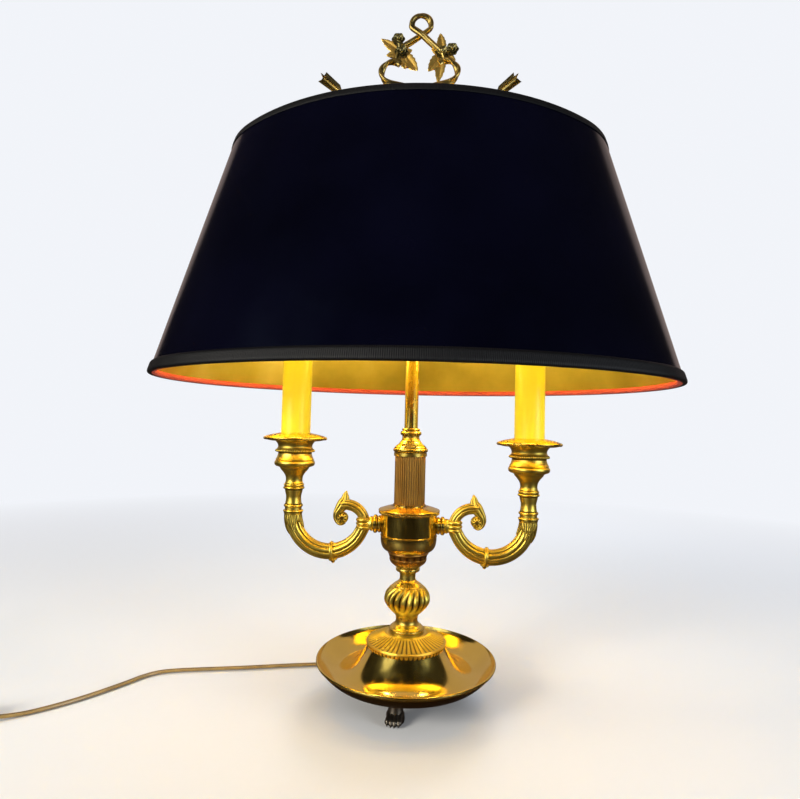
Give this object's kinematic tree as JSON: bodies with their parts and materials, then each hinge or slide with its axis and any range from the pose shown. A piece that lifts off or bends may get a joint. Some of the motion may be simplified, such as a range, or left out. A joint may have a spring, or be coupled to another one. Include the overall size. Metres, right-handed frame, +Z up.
{
  "type": "table lamp",
  "caption": "Brass bouillotte table lamp: dished foot on paws, scroll arms with candle lights, and an oval shade that slides and turns on the rod.",
  "frame": {"origin": "on the table plane under the middle of the bounding box of the lamp without its cord; the lamp axis is X = 0, Y = 0", "axes": "+Z up the lamp axis; the arms lie along X; -Y faces the viewer, on the side of the front paw and the clamp key"},
  "size_m": [0.6291, 0.3741, 0.6162],
  "materials": {
    "polished_brass": "polished, lightly tarnished in the hollows",
    "satin_brass": "satin, darker in the grooves",
    "cast_gilt_brass": "gilt casting, brown in the hollows",
    "dark_bronze": "dark patinated casting",
    "cast_iron": "rough casting",
    "plated_steel": "zinc plated",
    "candle_sleeve": "gloss, gold coloured",
    "insulator": "moulded",
    "bulb_glass": "clear glass",
    "shade_card": "black gloss outside, gold inside",
    "shade_tape": "black ribbed tape",
    "hem_tape": "orange-red tape",
    "flex": "gold-brown flex",
    "fitting_plastic": "moulded dark brown"
  },
  "bodies": {
    "lamp": {"base_dish": "polished_brass", "paw_foot_front": "dark_bronze", "paw_foot_right": "dark_bronze", "paw_foot_left": "dark_bronze", "base_weight": "cast_iron", "base_washer": "plated_steel", "stem_nuts": "plated_steel", "stem_tube": "plated_steel", "fluted_collar": "cast_gilt_brass", "stem_foot": "polished_brass", "gadrooned_knop": "cast_gilt_brass", "knop_cap": "polished_brass", "waisted_neck": "polished_brass", "leaf_cup": "satin_brass", "drum_bowl": "polished_brass", "drum_body": "polished_brass", "drum_lid": "polished_brass", "terminal_block": "insulator", "inner_wires": "insulator", "reeded_column": "satin_brass", "column_cap": "polished_brass", "shade_rod": "polished_brass", "arm_left": "cast_gilt_brass", "arm_right": "cast_gilt_brass", "arm_spindle_left": "polished_brass", "arm_spindle_right": "polished_brass", "cup_stem_left": "polished_brass", "cup_stem_right": "polished_brass", "candle_cup_left": "polished_brass", "candle_cup_right": "polished_brass", "drip_pan_left": "polished_brass", "drip_pan_right": "polished_brass", "lampholder_left": "insulator", "lampholder_right": "insulator", "candle_sleeve_left": "candle_sleeve", "candle_sleeve_right": "candle_sleeve", "bulb_left": "bulb_glass", "bulb_right": "bulb_glass", "finial_stem": "cast_gilt_brass", "arrow_left": "cast_gilt_brass", "arrow_right": "cast_gilt_brass", "ribbon_bow": "cast_gilt_brass", "rose_spray_left": "satin_brass", "rose_spray_right": "satin_brass", "strain_relief": "flex", "cord": "flex", "cord_coil": "flex", "switch_body": "fitting_plastic", "plug_body": "fitting_plastic", "plug_pins": "plated_steel"},
    "carrier": {"shade_carrier": "polished_brass", "spider_nut": "polished_brass"},
    "shade": {"shade_spider": "polished_brass", "shade_card": "shade_card", "shade_bottom_ring": "plated_steel", "shade_top_tape": "shade_tape", "shade_bottom_tape": "shade_tape", "shade_hem_tape": "hem_tape"},
    "key": {"clamp_key": "cast_gilt_brass"},
    "rocker": {"switch_rocker": "fitting_plastic"}
  },
  "joints": [
    {"name": "shade_height", "type": "slide", "parent": "lamp", "child": "carrier", "axis": [0, 0, 1], "range_m": [-0.04, 0.004]},
    {"name": "shade_turn", "type": "hinge", "parent": "carrier", "child": "shade", "pos_m": [0, 0, 0.437], "axis": [0, 0, 1], "continuous": true},
    {"name": "clamp_key_turn", "type": "hinge", "parent": "carrier", "child": "key", "pos_m": [0, -0.02, 0.419], "axis": [0, 1, 0], "range_deg": [0, 180]},
    {"name": "switch_rocker", "type": "hinge", "parent": "lamp", "child": "rocker", "pos_m": [-0.3505, -0.0915, 0.0146], "axis": [0.342, -0.9397, 0], "range_deg": [0, 16]}
  ]
}
